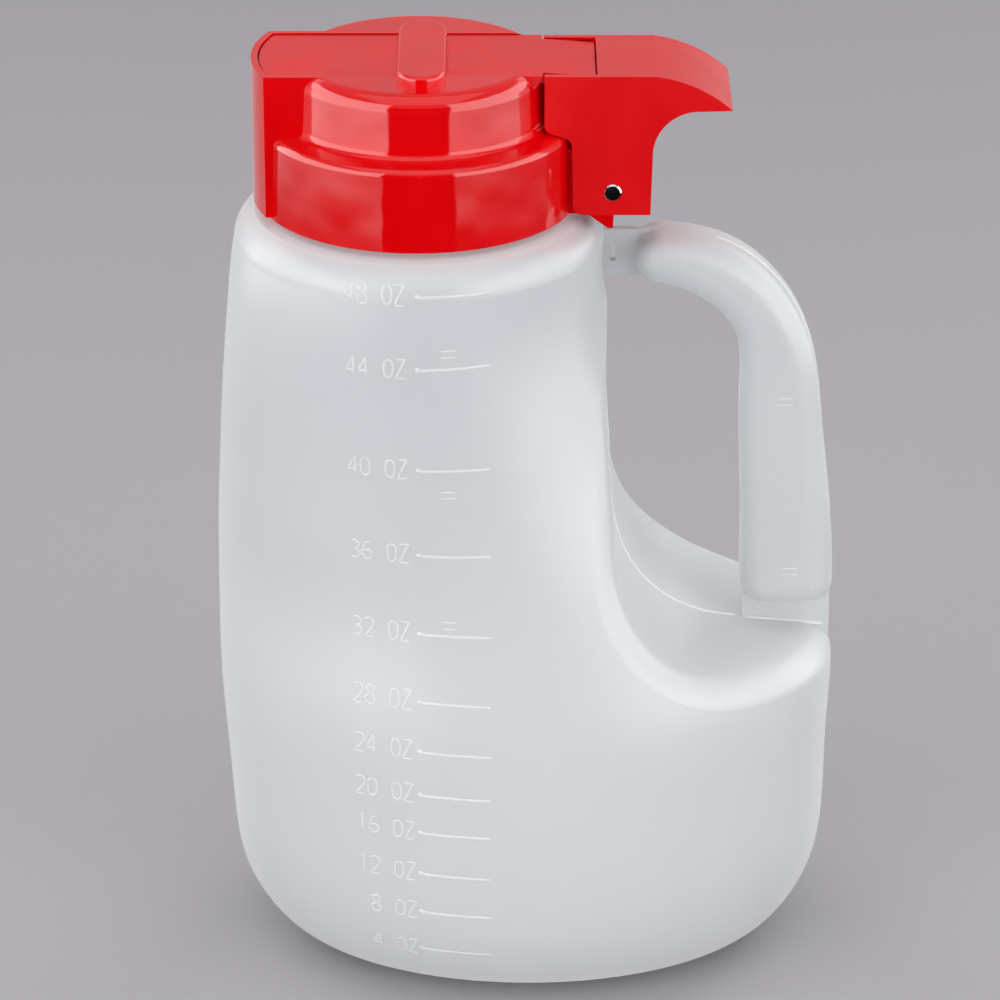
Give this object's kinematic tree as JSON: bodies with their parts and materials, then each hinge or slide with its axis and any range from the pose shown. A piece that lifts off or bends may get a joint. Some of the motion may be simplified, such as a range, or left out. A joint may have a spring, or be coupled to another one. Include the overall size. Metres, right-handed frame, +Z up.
{
  "type": "thumb-lever pouring dispenser",
  "caption": "Translucent handled jar with a screw top: a thumb lever over the handle slides a gate back to open the pouring spout.",
  "frame": {"origin": "centre of the jar's foot, on the surface that it stands on", "axes": "+Z up, +X from the spout towards the handle, +Y away from the side with the capacity marks"},
  "size_m": [0.1421, 0.1038, 0.2201],
  "materials": {
    "jar_plastic": "satin translucent polypropylene",
    "cap_plastic": "glossy moulded ABS",
    "gasket_rubber": "matte",
    "gate_plastic": "glossy moulded ABS",
    "lever_plastic": "semi-gloss moulded ABS",
    "pin_steel": "polished",
    "spring_steel": "drawn wire"
  },
  "bodies": {
    "jar": {"jar": "jar_plastic"},
    "gasket": {"neck_gasket": "gasket_rubber"},
    "cap": {"pour_cap": "cap_plastic", "pivot_pin": "pin_steel", "torsion_spring": "spring_steel"},
    "gate": {"slide_gate": "gate_plastic"},
    "lever": {"thumb_lever": "lever_plastic"}
  },
  "joints": [
    {"name": "cap_lift", "type": "slide", "parent": "jar", "child": "gasket", "axis": [0, 0, 1], "range_m": [0, 0.0071]},
    {"name": "cap_turn", "type": "hinge", "parent": "gasket", "child": "cap", "pos_m": [-0.0239, 0, 0.19], "axis": [0, 0, 1], "range_deg": [0, 420]},
    {"name": "lever_press", "type": "hinge", "parent": "cap", "child": "lever", "pos_m": [0.0191, 0, 0.1898], "axis": [0, 1, 0], "range_deg": [0, 26], "stiffness_Nm_per_rad": 0.15, "springref_deg": -14.32, "deforming": ["torsion_spring"]},
    {"name": "gate_slide", "type": "slide", "parent": "cap", "child": "gate", "axis": [1, 0, 0], "range_m": [0, 0.0118]}
  ],
  "couplings": [
    {"joint": "cap_lift", "follows": "cap_turn", "m_per_rad": 0.00095493},
    {"joint": "gate_slide", "follows": "lever_press", "m_per_rad": 0.02574}
  ]
}
